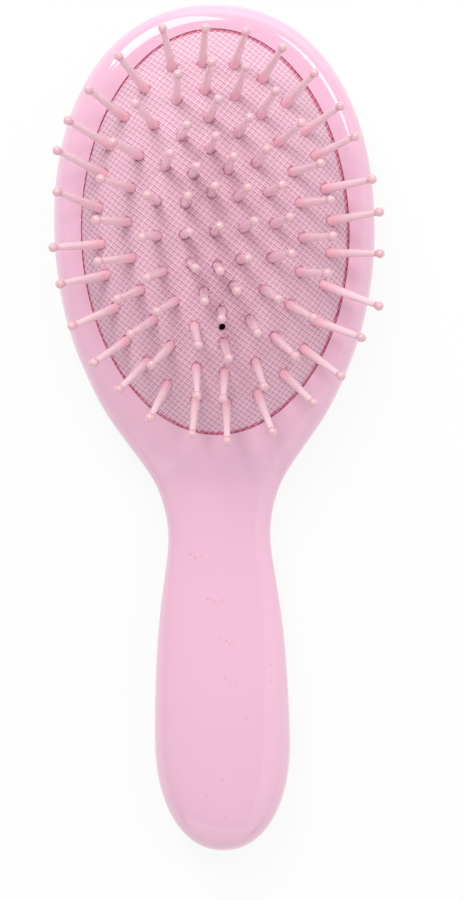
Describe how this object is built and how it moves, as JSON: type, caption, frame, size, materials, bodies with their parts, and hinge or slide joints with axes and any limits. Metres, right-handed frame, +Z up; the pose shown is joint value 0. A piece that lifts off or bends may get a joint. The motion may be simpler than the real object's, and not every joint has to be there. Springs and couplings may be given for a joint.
{
  "type": "cushion hair brush",
  "caption": "Oval hair brush with a two-shell body, a sprung air cushion faced with woven fabric, and ball-tipped pins standing square to its dome.",
  "frame": {"origin": "on the table under the middle of the brush's length and width, as it lies on its back", "axes": "+Y along the brush from handle to head, +Z up through the pins, +X to the right seen from the pin side"},
  "size_m": [0.0698, 0.1836, 0.0379],
  "materials": {
    "body": "glossy moulded plastic, pale pink",
    "pins": "semi-gloss moulded plastic, salmon pink",
    "facing": "fine diagonal weave, pale pink",
    "rubber": "matt moulded rubber, deep pink"
  },
  "bodies": {
    "brush_body": {"front_shell": "body", "back_shell": "body", "cushion_pad": "rubber", "pad_facing": "facing"},
    "centre_pins": {"pin_strip_centre": "pins"},
    "ring_1_pins": {"pin_strip_ring_1_1": "pins", "pin_strip_ring_1_2": "pins", "pin_strip_ring_1_3": "pins"},
    "ring_2_pins": {"pin_strip_ring_2_1": "pins", "pin_strip_ring_2_2": "pins", "pin_strip_ring_2_3": "pins", "pin_strip_ring_2_4": "pins"},
    "ring_3_pins": {"pin_strip_ring_3_1": "pins", "pin_strip_ring_3_2": "pins", "pin_strip_ring_3_3": "pins", "pin_strip_ring_3_4": "pins", "pin_strip_ring_3_5": "pins", "pin_strip_ring_3_6": "pins"},
    "ring_4_pins": {"pin_strip_ring_4_1": "pins", "pin_strip_ring_4_2": "pins", "pin_strip_ring_4_3": "pins", "pin_strip_ring_4_4": "pins", "pin_strip_ring_4_5": "pins", "pin_strip_ring_4_6": "pins", "pin_strip_ring_4_7": "pins"}
  },
  "joints": [
    {"name": "cushion_press", "type": "slide", "parent": "brush_body", "child": "centre_pins", "axis": [0, 0, -1], "range_m": [0, 0.005], "stiffness_N_per_m": 500, "springref_m": -0.0005, "deforming": ["cushion_pad", "pad_facing"]},
    {"name": "ring_1_sink", "type": "slide", "parent": "brush_body", "child": "ring_1_pins", "axis": [0, 0, -1], "range_m": [0, 0.0049], "stiffness_N_per_m": 500, "springref_m": -0.0005},
    {"name": "ring_2_sink", "type": "slide", "parent": "brush_body", "child": "ring_2_pins", "axis": [0, 0, -1], "range_m": [0, 0.0045], "stiffness_N_per_m": 500, "springref_m": -0.0005},
    {"name": "ring_3_sink", "type": "slide", "parent": "brush_body", "child": "ring_3_pins", "axis": [0, 0, -1], "range_m": [0, 0.0036], "stiffness_N_per_m": 500, "springref_m": -0.0005},
    {"name": "ring_4_sink", "type": "slide", "parent": "brush_body", "child": "ring_4_pins", "axis": [0, 0, -1], "range_m": [0, 0.0019], "stiffness_N_per_m": 500, "springref_m": -0.0005}
  ],
  "couplings": [
    {"joint": "ring_1_sink", "follows": "cushion_press", "ratio": 0.97},
    {"joint": "ring_2_sink", "follows": "cushion_press", "ratio": 0.89},
    {"joint": "ring_3_sink", "follows": "cushion_press", "ratio": 0.71},
    {"joint": "ring_4_sink", "follows": "cushion_press", "ratio": 0.37}
  ]
}
